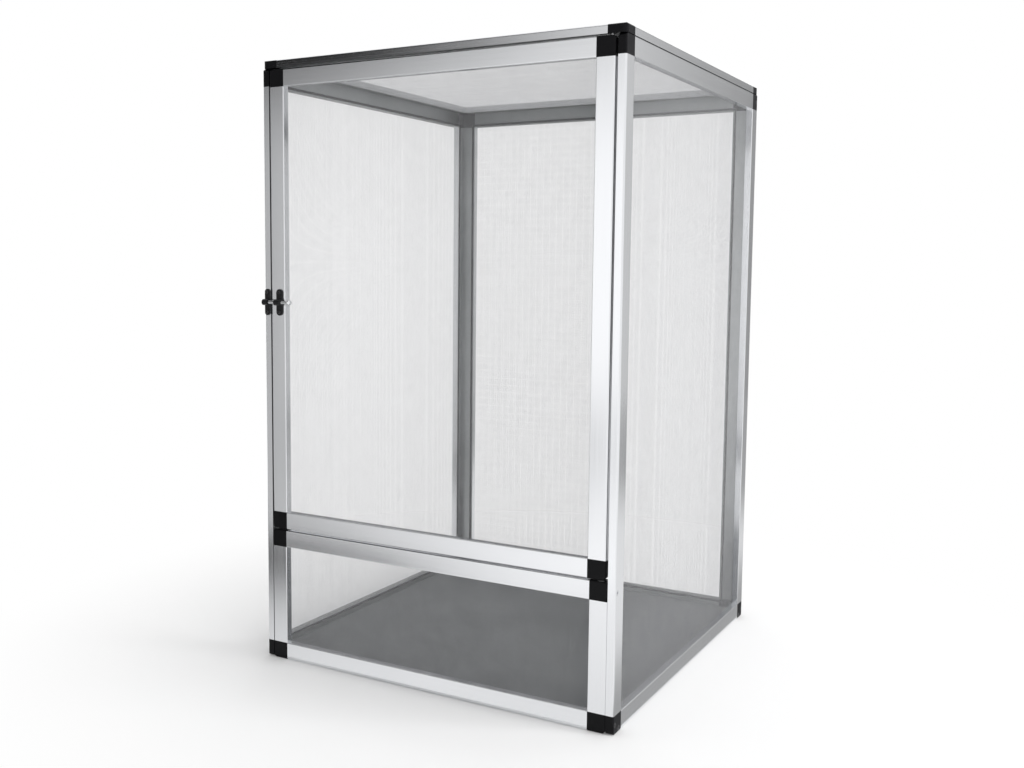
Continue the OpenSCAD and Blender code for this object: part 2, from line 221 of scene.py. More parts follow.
class GeometryGraph(Graph):
    """A Geometry Nodes tree with named inputs, whose result becomes a plain mesh."""

    KINDS = {
        float: "NodeSocketFloat",
        int: "NodeSocketInt",
        bpy.types.Object: "NodeSocketObject",
        bpy.types.Material: "NodeSocketMaterial",
    }

    def __init__(self, name: str, inputs: dict[str, Any]) -> None:
        """Makes the tree and its inputs.

        Args:
            name: Name of the tree.
            inputs: Value of each named input.
        """
        super().__init__(bpy.data.node_groups.new(name, "GeometryNodeTree"))
        self.values: dict[str, Any] = {}
        face = self.tree.interface
        face.new_socket("Geometry", in_out="INPUT", socket_type="NodeSocketGeometry")
        for label, value in inputs.items():
            made = face.new_socket(label, in_out="INPUT", socket_type=self.KINDS[type(value)])
            self.values[made.identifier] = value
        face.new_socket("Geometry", in_out="OUTPUT", socket_type="NodeSocketGeometry")
        self.group = self.tree.nodes.new("NodeGroupInput")

    def given(self, name: str) -> Socket:
        """The tree's input of that name."""
        return Socket(self, self.group.outputs[name])

    def finish(self, parts: list[Socket]) -> None:
        """Joins the parts and ends the tree in plain geometry with its material.

        Args:
            parts: Geometry to join.
        """
        joined = self.node("GeometryNodeJoinGeometry", inputs={"Geometry": parts})
        plain = self.node("GeometryNodeRealizeInstances", inputs={"Geometry": joined})
        dressed = self.node(
            "GeometryNodeSetMaterial", inputs={"Geometry": plain, "Material": self.given("Material")}
        )
        self.node("NodeGroupOutput", inputs={"Geometry": dressed})

    def mesh(self, start: bpy.types.Mesh) -> bpy.types.Mesh:
        """Runs the tree on a mesh.

        Args:
            start: Mesh that the tree is given.

        Returns:
            The result as a plain mesh.
        """
        carrier = bpy.data.objects.new(self.tree.name, start)
        link(carrier)
        modifier = carrier.modifiers.new(self.tree.name, "NODES")
        modifier.node_group = self.tree
        for identifier, value in self.values.items():
            modifier[identifier] = value
        depsgraph = bpy.context.evaluated_depsgraph_get()
        made = bpy.data.meshes.new_from_object(
            carrier.evaluated_get(depsgraph), preserve_all_data_layers=True, depsgraph=depsgraph
        )
        carrier.modifiers.remove(modifier)
        bpy.data.objects.remove(carrier)
        return made


class Paint(Graph):
    """A material's node tree."""

    def __init__(self, name: str) -> None:
        """Makes an empty material.

        Args:
            name: Name of the material.
        """
        self.material = bpy.data.materials.new(name)
        self.material.use_nodes = True
        super().__init__(self.material.node_tree)


class Surface(Paint):
    """A material's node tree around one Principled shader."""

    def __init__(self, name: str) -> None:
        """Makes a material that shows one Principled shader.

        Args:
            name: Name of the material.
        """
        super().__init__(name)
        self.shader = self.tree.nodes.new("ShaderNodeBsdfPrincipled")
        self.node("ShaderNodeOutputMaterial", inputs={"Surface": Socket(self, self.shader.outputs[0])})

    def set(self, **values: Any) -> None:
        """Sets or links inputs of the shader.

        Args:
            values: Number, colour or socket for each input, whose name is written with _ for a space.
        """
        for name, value in values.items():
            socket = self.shader.inputs[name.replace("_", " ")]
            if isinstance(value, Socket):
                self.tree.links.new(value.output, socket)
            else:
                socket.default_value = (*value, 1.0) if isinstance(value, tuple) else value

    def place(self, scale: Point = (1.0, 1.0, 1.0)) -> Socket:
        """Object coordinates in metres, times a scale along each axis."""
        spot = self.node("ShaderNodeTexCoord", output="Object")
        return self.node("ShaderNodeMapping", inputs={"Vector": spot, "Scale": scale})

    def noise(self, scale: Union[float, Point], detail: float = 2.0, rough: float = 0.5) -> Socket:
        """Noise on Object coordinates.

        Args:
            scale: Waves in a metre, along all axes or along each.
            detail: Octaves of finer noise.
            rough: Weight of the finer octaves.

        Returns:
            A value that is about one half on the mean.
        """
        spread = scale if isinstance(scale, tuple) else (scale, scale, scale)
        return self.node(
            "ShaderNodeTexNoise",
            inputs={"Vector": self.place(spread), "Scale": 1.0, "Detail": detail, "Roughness": rough},
        )

    def blend(self, factor: Value, first: Any, second: Any) -> Socket:
        """Mixes two colours.

        Args:
            factor: Share of the second colour.
            first: Colour at factor zero.
            second: Colour at factor one.

        Returns:
            The mixed colour.
        """
        colors = [(*c, 1.0) if isinstance(c, tuple) else c for c in (first, second)]
        # Inputs 6 and 7 and output 2 are the Mix node's colours.
        return self.node(
            "ShaderNodeMix", {"data_type": "RGBA"}, {0: factor, 6: colors[0], 7: colors[1]}, output=2
        )

    def bump(self, height: Socket, strength: float, distance: float) -> Socket:
        """Turns a height into a normal.

        Args:
            height: Height between zero and one.
            strength: Strength of the bump.
            distance: Depth in metres.

        Returns:
            The normal.
        """
        return self.node(
            "ShaderNodeBump", inputs={"Strength": strength, "Distance": distance, "Height": height}
        )

    def dot(self, first: Socket, second: Union[Vector, Socket]) -> Socket:
        """Dot product of two vectors."""
        settings = {"operation": "DOT_PRODUCT"}
        return self.node("ShaderNodeVectorMath", settings, {0: first, 1: second}, output="Value")

    def facing(self, direction: Union[Vector, Socket], low: float, high: float) -> Socket:
        """Mask of the faces that look in a direction of the piece's own frame.

        Args:
            direction: Vector that the faces look along.
            low: Product of normal and direction at which the mask starts.
            high: Product at which it is full.

        Returns:
            One on such faces, zero on those turned away.
        """
        normal = self.node("ShaderNodeTexCoord", output="Normal")
        return self.dot(normal, direction).step(low, high)

    def edges(self, radius: float, gain: float) -> Socket:
        """Mask of the piece's edges.

        Args:
            radius: Width of the worn band in metres.
            gain: How fast the mask rises towards the edge.

        Returns:
            One on edges, zero on flat faces.
        """
        rounded = self.node("ShaderNodeBevel", {"samples": 6}, {"Radius": radius})
        flat = self.node("ShaderNodeNewGeometry", output="Normal")
        return ((1.0 - self.dot(rounded, flat)) * gain).clamped()


@dataclass(frozen=True)
class ExtrudedAluminium:
    """Satin anodised extrusion, with die lines along its length, a rougher inside face, and shade painted
    into the inside face's colour.
    """

    wall: Wall
    direction: Direction
    # Colour of the faces towards the cage's inside: painted shade, not the metal's own colour.
    inside: Color = (0.30, 0.315, 0.315)
    lean: float = 0.0
    dull: Color = (0.76, 0.77, 0.79)
    bright: Color = (0.86, 0.87, 0.89)
    worn: Color = (0.92, 0.93, 0.94)
    roughness: float = 0.17
    line_pitch: float = 0.9 * MM
    line_length: float = 400 * MM
    haze_waves: float = 6.0
    edge_width: float = 0.8 * MM
    edge_gain: float = 2.2
    depth: float = 0.011 * MM

    def material(self) -> bpy.types.Material:
        """Makes the material.

        Returns:
            The material with its nodes.
        """
        surface = Surface(f"aluminium_{self.wall.name.lower()}_{self.direction.name.lower()}")
        stretch = [1.0 / self.line_pitch] * 3
        stretch[self.direction.value] = 1.0 / self.line_length
        lines = surface.noise(tuple(stretch), detail=3.0, rough=0.6)
        fine = surface.noise(tuple(4.0 * s for s in stretch), detail=1.0)
        haze = surface.noise(self.haze_waves, detail=2.0, rough=0.45).step(0.25, 0.75)
        edge = surface.edges(self.edge_width, self.edge_gain)
        # Mask of the faces towards the cage's inside, where shade is painted into the colour.
        inner_shade = surface.facing(self.wall.axes()[2], low=0.55, high=0.95)
        relief = lines * 0.6 + fine * 0.4
        if self.lean:
            # The outer faces lean in their bump, and faces turned away from the outside get the inner faces'
            # painted shade.
            rise = surface.node("ShaderNodeSeparateXYZ", inputs={"Vector": surface.place()}, output="Z")
            outward = surface.facing(surface.place(), low=-0.1, high=0.1)
            relief = relief - rise * outward * (self.lean / self.depth)
            inner_shade = inner_shade.math("MAXIMUM", 1.0 - outward)
        body = surface.blend(haze * 0.35 + lines * 0.65, self.dull, self.bright)
        body = surface.blend(edge * 0.7, body, self.worn)
        rough = self.roughness + (lines - 0.5) * 0.16 + (haze - 0.5) * 0.05 - edge * 0.04 + inner_shade * 0.16
        # The inner faces take the painted shade colour, mottled by the haze.
        surface.set(
            Base_Color=surface.blend(inner_shade * (0.82 + haze * 0.18), body, self.inside),
            Roughness=rough.clamped(),
            Metallic=1.0,
            Normal=surface.bump(relief, strength=1.0, distance=self.depth),
        )
        return surface.material


@dataclass(frozen=True)
class MouldedBlack:
    """Moulded black plastic with a fine spark-eroded texture, and edges lighter from wear and a painted
    sheen.
    """

    dark: Color = (0.003, 0.003, 0.004)
    light: Color = (0.007, 0.007, 0.008)
    worn: Color = (0.022, 0.022, 0.024)
    roughness: float = 0.46
    gloss: float = 0.12
    cloud_waves: float = 45.0
    edge_width: float = 0.6 * MM
    edge_gain: float = 2.0
    grain: float = 0.45 * MM
    depth: float = 0.08 * MM

    def material(self) -> bpy.types.Material:
        """Makes the material.

        Returns:
            The material with its nodes.
        """
        surface = Surface("moulded_black")
        grain = surface.noise(1.0 / self.grain, detail=3.0, rough=0.65)
        cloud = surface.noise(self.cloud_waves, detail=3.0).step(0.3, 0.7)
        edge = surface.edges(self.edge_width, self.edge_gain)
        body = surface.blend(cloud * 0.6 + grain * 0.4, self.dark, self.light)
        # Edges turn lighter: partly wear, partly a painted sheen.
        surface.set(
            Base_Color=surface.blend(edge * 0.6, body, self.worn),
            Roughness=(self.roughness + (cloud - 0.5) * 0.12 + (grain - 0.5) * 0.2).clamped(),
            Normal=surface.bump(grain, strength=0.4, distance=self.depth),
            Specular_IOR_Level=self.gloss,
        )
        return surface.material


@dataclass(frozen=True)
class BeadRubber:
    """Soft black rubber, dusty on top, with shallow ribs."""

    dark: Color = (0.012, 0.012, 0.012)
    dusty: Color = (0.040, 0.039, 0.038)
    roughness: float = 0.68
    dust_waves: float = 120.0
    rib: float = 0.6 * MM
    depth: float = 0.15 * MM

    def material(self) -> bpy.types.Material:
        """Makes the material.

        Returns:
            The material with its nodes.
        """
        surface = Surface("bead_rubber")
        ribs = surface.noise(1.0 / self.rib, detail=1.0)
        dust = surface.noise(self.dust_waves, detail=5.0, rough=0.7).step(0.42, 0.72)
        surface.set(
            Base_Color=surface.blend(dust, self.dark, self.dusty),
            Roughness=self.roughness + (dust - 0.5) * 0.16,
            Normal=surface.bump(ribs, strength=0.5, distance=self.depth),
        )
        return surface.material


@dataclass(frozen=True)
class WovenWire:
    """Dull, oxidised aluminium wire that rises and falls over the wires it crosses, with light and shade of
    the weave painted into its colour.
    """

    dull: Color = (0.53, 0.535, 0.55)
    bright: Color = (0.70, 0.705, 0.72)
    roughness: float = 0.42
    bare: float = 0.25
    tone_waves: float = 60.0
    rise: float = 0.05 * MM

    def material(self) -> bpy.types.Material:
        """Makes the material.

        Returns:
            The material with its nodes.
        """
        surface = Surface("woven_wire")
        along = surface.node("ShaderNodeAttribute", {"attribute_name": "weave"}, output="Fac")
        row = surface.node("ShaderNodeAttribute", {"attribute_name": "row"}, output="Fac")
        wave = ((along + row) * math.pi).math("COSINE") * 0.5 + 0.5
        tone = surface.noise(self.tone_waves, detail=4.0, rough=0.6).step(0.3, 0.7)
        # The colour follows the weave: painted light where the wire rides over a crossing wire, painted shade
        # where it dips under; the noise adds random tone.
        surface.set(
            Base_Color=surface.blend(wave * 0.5 + tone * 0.5, self.dull, self.bright),
            Roughness=self.roughness + (tone - 0.5) * 0.12,
            Metallic=self.bare,
            Normal=surface.bump(wave, strength=0.6, distance=self.rise),
        )
        return surface.material


@dataclass(frozen=True)
class FloorSheet:
    """Dark grey plastic sheet, slightly mottled, with light scuffs."""

    dark: Color = (0.060, 0.064, 0.067)
    light: Color = (0.103, 0.108, 0.111)
    scuffed: Color = (0.21, 0.22, 0.225)
    roughness: float = 0.50
    gloss: float = 0.3
    cloud_waves: float = 9.0
    patch_waves: float = 16.0
    scuff_waves: tuple[Point, Point] = ((6.0, 420.0, 1.0), (380.0, 5.0, 1.0))
    grain: float = 0.7 * MM
    depth: float = 0.06 * MM

    def material(self) -> bpy.types.Material:
        """Makes the material.

        Returns:
            The material with its nodes.
        """
        surface = Surface("floor_sheet")
        cloud = surface.noise(self.cloud_waves, detail=5.0, rough=0.6).step(0.3, 0.7)
        grain = surface.noise(1.0 / self.grain, detail=2.0)
        scuff_x = surface.noise(self.scuff_waves[0], detail=2.0).step(0.66, 0.74)
        scuff_y = surface.noise(self.scuff_waves[1], detail=2.0).step(0.68, 0.76)
        patch = surface.noise(self.patch_waves, detail=2.0).step(0.45, 0.65)
        scuff = (scuff_x + scuff_y).clamped() * patch
        body = surface.blend(cloud * 0.75 + grain * 0.25, self.dark, self.light)
        surface.set(
            Base_Color=surface.blend(scuff * 0.45, body, self.scuffed),
            Roughness=(self.roughness + (cloud - 0.5) * 0.14 + scuff * 0.12).clamped(),
            Normal=surface.bump(grain + scuff * 0.5, strength=0.18, distance=self.depth),
            Specular_IOR_Level=self.gloss,
        )
        return surface.material


@dataclass(frozen=True)
class TurnedSteel:
    """Turned steel pin, with rings round its upright axis."""

    dull: Color = (0.48, 0.48, 0.49)
    bright: Color = (0.68, 0.68, 0.69)
    roughness: float = 0.24
    tone_waves: float = 150.0
    ring: float = 0.3 * MM
    depth: float = 0.04 * MM

    def material(self) -> bpy.types.Material:
        """Makes the material.

        Returns:
            The material with its nodes.
        """
        surface = Surface("turned_steel")
        rings = surface.noise((20.0, 20.0, 1.0 / self.ring), detail=2.0)
        tone = surface.noise(self.tone_waves, detail=3.0)
        surface.set(
            Base_Color=surface.blend(rings * 0.5 + tone * 0.5, self.dull, self.bright),
            Roughness=self.roughness + rings * 0.2,
            Metallic=1.0,
            Normal=surface.bump(rings, strength=0.3, distance=self.depth),
        )
        return surface.material


@dataclass(frozen=True)
class BlackNylon:
    """Black nylon, faintly clouded."""

    dark: Color = (0.010, 0.010, 0.011)
    light: Color = (0.026, 0.026, 0.028)
    roughness: float = 0.36
    cloud_waves: float = 300.0
    grain: float = 0.4 * MM
    depth: float = 0.04 * MM

    def material(self) -> bpy.types.Material:
        """Makes the material.

        Returns:
            The material with its nodes.
        """
        surface = Surface("black_nylon")
        cloud = surface.noise(self.cloud_waves, detail=3.0)
        grain = surface.noise(1.0 / self.grain, detail=1.0)
        surface.set(
            Base_Color=surface.blend(cloud, self.dark, self.light),
            Roughness=self.roughness + cloud * 0.14,
            Normal=surface.bump(grain, strength=0.15, distance=self.depth),
        )
        return surface.material


@dataclass(frozen=True)
class PowderCoat:
    """Black powder coat with a fine orange peel, rubbed at the edges."""

    dark: Color = (0.008, 0.008, 0.009)
    light: Color = (0.016, 0.016, 0.018)
    rubbed: Color = (0.12, 0.12, 0.125)
    roughness: float = 0.34
    gloss: float = 0.22
    rub_waves: float = 500.0
    edge_width: float = 0.35 * MM
    edge_gain: float = 2.4
    peel: float = 0.8 * MM
    depth: float = 0.12 * MM

    def material(self) -> bpy.types.Material:
        """Makes the material.

        Returns:
            The material with its nodes.
        """
        surface = Surface("black_powder_coat")
        peel = surface.noise(1.0 / self.peel, detail=2.0)
        rub = surface.noise(self.rub_waves, detail=3.0).step(0.45, 0.7)
        edge = surface.edges(self.edge_width, self.edge_gain)
        body = surface.blend(peel, self.dark, self.light)
        surface.set(
            Base_Color=surface.blend(edge * rub * 0.8, body, self.rubbed),
            Roughness=(self.roughness + (peel - 0.5) * 0.16 - edge * 0.06).clamped(),
            Specular_IOR_Level=self.gloss,
            Metallic=edge * rub * 0.6,
            Normal=surface.bump(peel, strength=0.35, distance=self.depth),
        )
        return surface.material


@dataclass(frozen=True)
class BrightPlate:
    """Bright chrome plate on a turned rod, with faint rings and rub marks along it."""

    deep: Color = (0.74, 0.75, 0.77)
    bright: Color = (0.90, 0.91, 0.92)
    roughness: float = 0.07
    ring_waves: Point = (2200.0, 60.0, 60.0)
    rub_waves: Point = (40.0, 1500.0, 1500.0)
    tone_waves: float = 220.0
    depth: float = 0.02 * MM

    def material(self) -> bpy.types.Material:
        """Makes the material.

        Returns:
            The material with its nodes.
        """
        surface = Surface("bright_plate")
        rings = surface.noise(self.ring_waves, detail=2.0)
        rub = surface.noise(self.rub_waves, detail=2.0).step(0.5, 0.75)
        tone = surface.noise(self.tone_waves, detail=3.0)
        surface.set(
            Base_Color=surface.blend(tone, self.deep, self.bright),
            Roughness=self.roughness + rings * 0.05 + rub * 0.10,
            Metallic=1.0,
            Normal=surface.bump(rings, strength=0.08, distance=self.depth),
        )
        return surface.material


@dataclass(frozen=True)
class BlackenedSteel:
    """Blackened screw steel, bare where a driver has rubbed it."""

    dark: Color = (0.022, 0.022, 0.024)
    light: Color = (0.050, 0.050, 0.053)
    bare: Color = (0.30, 0.30, 0.31)
    roughness: float = 0.32
    tone_waves: float = 900.0
    rub_waves: float = 700.0
    edge_width: float = 0.25 * MM
    edge_gain: float = 2.4
    depth: float = 0.04 * MM

    def material(self) -> bpy.types.Material:
        """Makes the material.

        Returns:
            The material with its nodes.
        """
        surface = Surface("blackened_steel")
        tone = surface.noise(self.tone_waves, detail=3.0)
        rub = surface.noise(self.rub_waves, detail=3.0).step(0.5, 0.75)
        edge = surface.edges(self.edge_width, self.edge_gain)
        body = surface.blend(tone, self.dark, self.light)
        surface.set(
            Base_Color=surface.blend(edge * rub * 0.7, body, self.bare),
            Roughness=(self.roughness + (tone - 0.5) * 0.2).clamped(),
            Metallic=0.5 + edge * rub * 0.4,
            Normal=surface.bump(tone, strength=0.2, distance=self.depth),
        )
        return surface.material


@dataclass(frozen=True)
class ZincPlate:
    """Bright zinc plate on screw steel, with a faint bloom."""

    deep: Color = (0.62, 0.63, 0.66)
    bright: Color = (0.80, 0.81, 0.83)
    roughness: float = 0.20
    tone_waves: float = 700.0
    bloom_waves: float = 1600.0
    edge_width: float = 0.25 * MM
    edge_gain: float = 2.4
    depth: float = 0.04 * MM

    def material(self) -> bpy.types.Material:
        """Makes the material.

        Returns:
            The material with its nodes.
        """
        surface = Surface("zinc_plate")
        tone = surface.noise(self.tone_waves, detail=3.0)
        bloom = surface.noise(self.bloom_waves, detail=4.0, rough=0.65).step(0.5, 0.75)
        edge = surface.edges(self.edge_width, self.edge_gain)
        body = surface.blend(tone * 0.6 + edge * 0.4, self.deep, self.bright)
        surface.set(
            Base_Color=body,
            Roughness=(self.roughness + (tone - 0.5) * 0.12 + bloom * 0.14).clamped(),
            Metallic=1.0,
            Normal=surface.bump(tone, strength=0.15, distance=self.depth),
        )
        return surface.material


class Finishes:
    """Every material of the cage, made once.

    The frames' inside faces carry painted shade: darkest on the lid, dark on the left and back walls, and
    lighter elsewhere.
    """

    LID_LEAN = 0.07
    # Painted shade on the frames' inside faces: its colour on the lid, its lighter colour, and the walls that
    # keep the darker default.
    LID_INSIDE_SHADE = (0.15, 0.16, 0.16)
    LIGHT_INSIDE_SHADE = (0.58, 0.59, 0.60)
    SHADED_WALLS = (Wall.LEFT, Wall.BACK)

    def __init__(self) -> None:
        """Makes the materials."""
        self.lengths: dict[tuple[Wall, Direction], bpy.types.Material] = {}
        self.corner = MouldedBlack().material()
        self.bead = BeadRubber().material()
        self.wire = WovenWire().material()
        self.floor = FloorSheet().material()
        self.pin = TurnedSteel().material()
        self.washer = BlackNylon().material()
        self.latch = PowderCoat().material()
        self.bolt = BrightPlate().material()
        self.screws = {"black_screw": BlackenedSteel().material(), "zinc_screw": ZincPlate().material()}

    def extrusion(self, wall: Wall, direction: Direction) -> bpy.types.Material:
        """Finish of a length of extrusion.

        Args:
            wall: Side of the cage that its frame closes.
            direction: Axis that it runs along.

        Returns:
            The material, made at its first use.
        """
        if (wall, direction) not in self.lengths:
            finish = ExtrudedAluminium(wall, direction)
            # Lit and shaded copies: the inside faces' painted shade is darkest on the lid, dark on the left
            # and back walls and lighter on the others.
            if wall is Wall.LID:
                finish = replace(finish, lean=self.LID_LEAN, inside=self.LID_INSIDE_SHADE)
            elif wall not in self.SHADED_WALLS:
                finish = replace(finish, inside=self.LIGHT_INSIDE_SHADE)
            self.lengths[wall, direction] = finish.material()
        return self.lengths[wall, direction]


def dress(node: str, material: bpy.types.Material) -> None:
    """Gives a CAD node a material.

    Args:
        node: Name of the node.
        material: Material for all its slots.
    """
    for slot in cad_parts[node].material_slots:
        slot.material = material
    log.info("dressed %s with %s", node, material.name)


def add_piece(name: str, mesh: bpy.types.Mesh, body: str, slot: str, *nodes: str) -> None:
    """Adds a piece that stands for CAD nodes.

    Args:
        name: Name of the piece.
        mesh: Its mesh, with its place in it.
        body: CAD body that it rides on.
        slot: The record's material slot; not used.
        nodes: CAD nodes that it replaces.
    """
    piece = bpy.data.objects.new(name, mesh)
    mesh.name = name
    link(piece)
    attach(piece, body)
    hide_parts(*nodes)
    log.info("made %s on %s: %d faces", name, body, len(mesh.polygons))


def solids_of(node: str) -> list[np.ndarray]:
    """Splits a CAD node into its separate solids.

    Args:
        node: Name of the node.

    Returns:
        The points of each solid, in metres.
    """
    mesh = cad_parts[node].data
    work = bmesh.new()
    work.from_mesh(mesh)
    bmesh.ops.remove_doubles(work, verts=work.verts, dist=MERGE)
    left, found = set(work.verts), []
    while left:
        todo, solid = [left.pop()], []
        while todo:
            vert = todo.pop()
            solid.append(tuple(vert.co))
            near = {edge.other_vert(vert) for edge in vert.link_edges} & left
            left -= near
            todo += near
        found.append(np.array(solid))
    work.free()
    return found


@dataclass
class WireScreen:
    """Fine wire mesh of one frame: crossing wires whose ends are turned down into the frame's groove."""

    frame_name: str
    wall: Wall
    body: str
    pitch: float = 1.2 * MM
    wire: float = 0.15 * MM
    hem_inset: float = 3.4 * MM
    hem_floor: float = 0.4 * MM
    sides: int = 6

    def sizes(self) -> tuple[Vector, float, float, float]:
        """Reads the screen's place and size from its CAD node.

        Returns:
            Middle of the inside face, width, height and depth of the hem, in metres.
        """
        low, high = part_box(f"{self.frame_name}_mesh")
        across, up, inward = self.wall.axes()
        extent = high - low
        depth = abs(extent.dot(inward))
        middle = (low + high) / 2 + inward * depth / 2
        width = abs(extent.dot(across)) - 2 * self.hem_inset
        height = abs(extent.dot(up)) - 2 * self.hem_inset
        return middle, width, height, depth - self.hem_floor

    def wires(self, graph: GeometryGraph, length: Socket, span: Socket) -> Socket:
        """Adds one set of equal wires along X, side by side along Y.

        Args:
            graph: Tree that gets the nodes.
            length: Length of a wire between its turned-down ends.
            span: Room for the wires side by side.

        Returns:
            The wires as instances.
        """
        pitch, wire = graph.given("Pitch"), graph.given("Wire")
        # Four points: one turned-down end, the two bends and the other end.
        side = graph.node("GeometryNodeInputIndex") - 1.5
        spot = graph.vector(
            x=side.math("SIGN") * length * 0.5, z=(abs(side) > 1.0) * graph.given("Hem") * -1.0
        )
        line = graph.node("GeometryNodeCurvePrimitiveLine")
        line = graph.node("GeometryNodeResampleCurve", inputs={"Curve": line, "Count": 4})
        line = graph.node("GeometryNodeSetPosition", inputs={"Geometry": line, "Position": spot})
        along = graph.node("GeometryNodeSplineParameter", output="Length") / pitch
        line = graph.node(
            "GeometryNodeStoreNamedAttribute",
            {"data_type": "FLOAT", "domain": "POINT"},
            {"Geometry": line, "Name": "weave", "Value": along},
        )
        ring = graph.node(
            "GeometryNodeCurvePrimitiveCircle",
            inputs={"Resolution": graph.given("Sides"), "Radius": wire * 0.5},
        )
        rod = graph.node(
            "GeometryNodeCurveToMesh", inputs={"Curve": line, "Profile Curve": ring, "Fill Caps": True}
        )
        gaps = (span / pitch).math("FLOOR")
        row = graph.node(
            "GeometryNodeMeshLine",
            inputs={
                "Count": gaps + 1.0,
                "Start Location": graph.vector(y=gaps * pitch * -0.5),
                "Offset": graph.vector(y=pitch),
            },
        )
        rods = graph.node("GeometryNodeInstanceOnPoints", inputs={"Points": row, "Instance": rod})
        return graph.node(
            "GeometryNodeStoreNamedAttribute",
            {"data_type": "FLOAT", "domain": "INSTANCE"},
            {"Geometry": rods, "Name": "row", "Value": graph.node("GeometryNodeInputIndex")},
        )

    def build(self, material: bpy.types.Material) -> None:
        """Makes the screen and puts it in place of its CAD node.

        Args:
            material: Finish of the wires.
        """
        middle, width, height, hem = self.sizes()
        name = f"{self.frame_name}_screen"
        graph = GeometryGraph(
            name,
            {
                "Width": width,
                "Height": height,
                "Hem": hem,
                "Pitch": self.pitch,
                "Wire": self.wire,
                "Sides": self.sides,
                "Material": material,
            },
        )
        # The weft lies against the inside face, and the warp one wire further out.
        wide, tall, wire = graph.given("Width"), graph.given("Height"), graph.given("Wire")
        weft = graph.node(
            "GeometryNodeTransform",
            inputs={"Geometry": self.wires(graph, wide, tall), "Translation": graph.vector(z=wire * -0.5)},
        )
        warp = graph.node(
            "GeometryNodeTransform",
            inputs={
                "Geometry": self.wires(graph, tall, wide),
                "Translation": graph.vector(z=wire * -1.5),
                "Rotation": (0.0, 0.0, math.pi / 2),
            },
        )
        graph.finish([weft, warp])
        mesh = graph.mesh(bpy.data.meshes.new(name))
        across, up, inward = self.wall.axes()
        turn = Matrix((across, up, inward)).transposed().to_4x4()
        mesh.transform(Matrix.Translation(middle) @ turn)
        add_piece(name, mesh, self.body, "wire_mesh", f"{self.frame_name}_mesh")


@dataclass
class ScreenFrame:
    """A flat frame of extrusions and corner pieces, with its wire screen and bead where it has them."""

    name: str
    wall: Wall
    rails: tuple[str, ...]
    body: str = "cage"
    screened: bool = True

    def build(self, finishes: Finishes) -> None:
        """Dresses the frame and builds its screen.

        Args:
            finishes: The cage's materials.
        """
        for rail in self.rails:
            node = f"{self.name}_{rail}"
            low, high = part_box(node)
            extent = list(high - low)
            dress(node, finishes.extrusion(self.wall, Direction(extent.index(max(extent)))))
        dress(f"{self.name}_corners", finishes.corner)
        if self.screened:
            dress(f"{self.name}_bead", finishes.bead)
            WireScreen(self.name, self.wall, self.body).build(finishes.wire)


def closed_mesh(name: str, work: bmesh.types.BMesh) -> bpy.types.Mesh:
    """Ends the work on a closed shape.

    Args:
        name: Name of the mesh.
        work: The shape, which is freed.

    Returns:
        Its mesh, with faces that point outwards.
    """
    bmesh.ops.recalc_face_normals(work, faces=work.faces)
    mesh = bpy.data.meshes.new(name)
    work.to_mesh(mesh)
    work.free()
    return mesh


class HeadForm(Enum):
    """Shape of a screw's head."""

    COUNTERSUNK = "countersunk"
    PAN = "pan"


